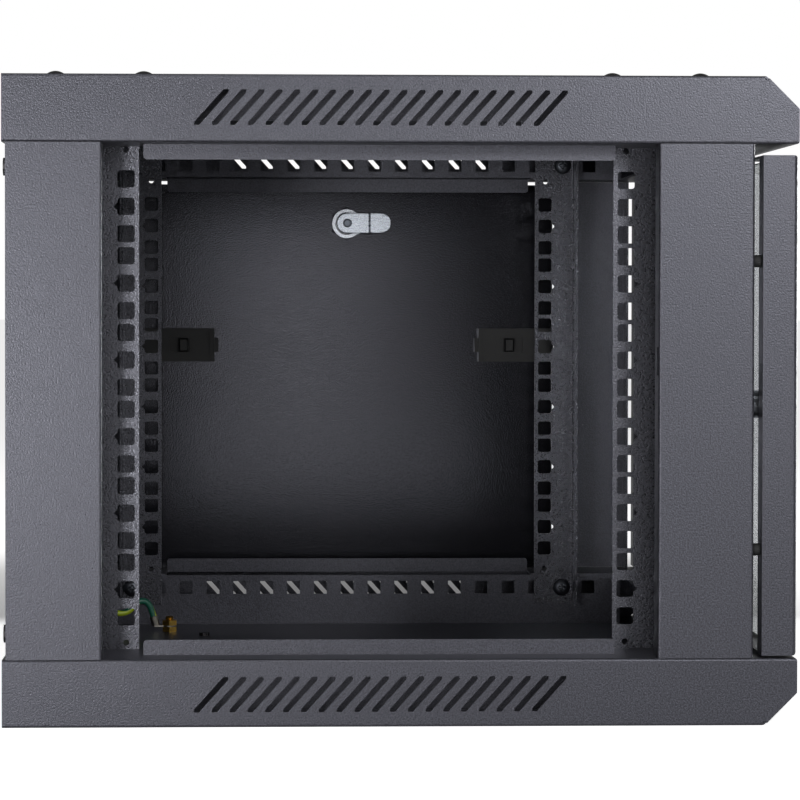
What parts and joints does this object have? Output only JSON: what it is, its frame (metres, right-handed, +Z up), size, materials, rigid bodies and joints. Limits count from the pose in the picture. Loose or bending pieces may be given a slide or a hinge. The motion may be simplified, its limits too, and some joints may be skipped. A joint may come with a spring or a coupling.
{
  "type": "wall mount network cabinet",
  "caption": "Low wall mount network cabinet of folded sheet steel with rack rails, a hinged glass door, vented caps and one side panel lifted away to show the inside.",
  "frame": {"origin": "centre of the footprint at the underside of the bottom cap", "axes": "+Z up, +X to the right seen from the front, +Y from the glass door to the wall"},
  "size_m": [0.6018, 0.4512, 0.3719],
  "materials": {
    "powder_coat": "fine textured powder coat",
    "zinc_steel": "zinc plated",
    "black_zinc": "black zinc plated",
    "brass": "satin",
    "tinned_copper": "satin",
    "earth_sleeve": "satin",
    "tinted_glass": "toughened, polished",
    "bumper_rubber": "matte",
    "lock_chrome": "satin chrome",
    "black_plastic": "moulded"
  },
  "bodies": {
    "cabinet": {"bottom_cap": "powder_coat", "bottom_cap_rim": "powder_coat", "top_cap": "powder_coat", "top_cap_rim": "powder_coat", "back_panel": "powder_coat", "left_front_column": "powder_coat", "right_front_column": "powder_coat", "left_rear_column": "powder_coat", "right_rear_column": "powder_coat", "left_front_jamb": "powder_coat", "right_front_jamb": "powder_coat", "left_rear_jamb": "powder_coat", "right_rear_jamb": "powder_coat", "left_floor_depth_rail": "powder_coat", "right_floor_depth_rail": "powder_coat", "left_roof_depth_rail": "powder_coat", "right_roof_depth_rail": "powder_coat", "left_front_rack_rail": "powder_coat", "right_front_rack_rail": "powder_coat", "left_rear_rack_rail": "powder_coat", "right_rear_rack_rail": "powder_coat", "rail_screws": "zinc_steel", "rail_cage_nuts": "zinc_steel", "roof_bolts": "black_zinc", "roof_nuts": "zinc_steel", "back_bolts": "black_zinc", "floor_cable_plate": "powder_coat", "roof_cable_plate": "powder_coat", "fan_guard": "powder_coat", "roof_plate_screws": "black_zinc", "floor_plate_screws": "black_zinc", "earth_studs": "brass", "earth_nuts": "brass", "earth_terminals": "tinned_copper", "earth_wire": "earth_sleeve", "door_bumpers": "bumper_rubber"},
    "door": {"door_lock_stile": "powder_coat", "door_hinge_stile": "powder_coat", "door_glass": "tinted_glass", "door_lower_hinge_pin": "zinc_steel", "door_pin_bracket": "powder_coat", "door_lock_barrel": "lock_chrome", "door_lock_nut": "lock_chrome"},
    "door_pin": {"door_upper_hinge_pin": "zinc_steel"},
    "door_lock": {"door_lock_plug": "lock_chrome", "door_lock_cam": "zinc_steel", "door_lock_screw": "zinc_steel"},
    "side_panel": {"right_side_panel": "powder_coat", "side_lock_barrel": "lock_chrome", "side_lock_nut": "lock_chrome", "front_latch_housing": "black_plastic", "rear_latch_housing": "black_plastic"},
    "side_lock": {"side_lock_plug": "lock_chrome", "side_lock_cam": "zinc_steel", "side_lock_screw": "zinc_steel"},
    "front_latch": {"front_latch_slider": "black_plastic"},
    "rear_latch": {"rear_latch_slider": "black_plastic"}
  },
  "joints": [
    {"name": "door_hinge", "type": "hinge", "parent": "cabinet", "child": "door", "pos_m": [0.29, -0.2145, 0.18155], "axis": [0, 0, 1], "range_deg": [0, 180]},
    {"name": "door_pin_slide", "type": "slide", "parent": "door", "child": "door_pin", "axis": [0, 0, -1], "range_m": [0, 0.008], "stiffness_N_per_m": 400},
    {"name": "door_lock_turn", "type": "hinge", "parent": "door", "child": "door_lock", "pos_m": [-0.27, -0.2, 0.18155], "axis": [0, -1, 0], "range_deg": [0, 90]},
    {"name": "side_panel_lift", "type": "slide", "parent": "cabinet", "child": "side_panel", "axis": [1, 0, 0], "range_m": [0, 0.1]},
    {"name": "side_lock_turn", "type": "hinge", "parent": "side_panel", "child": "side_lock", "pos_m": [0.29, 0.01175, 0.298], "axis": [-1, 0, 0], "range_deg": [0, 90]},
    {"name": "front_latch_slide", "type": "slide", "parent": "side_panel", "child": "front_latch", "axis": [0, -1, 0], "range_m": [0, 0.006]},
    {"name": "rear_latch_slide", "type": "slide", "parent": "side_panel", "child": "rear_latch", "axis": [0, 1, 0], "range_m": [0, 0.006]}
  ]
}
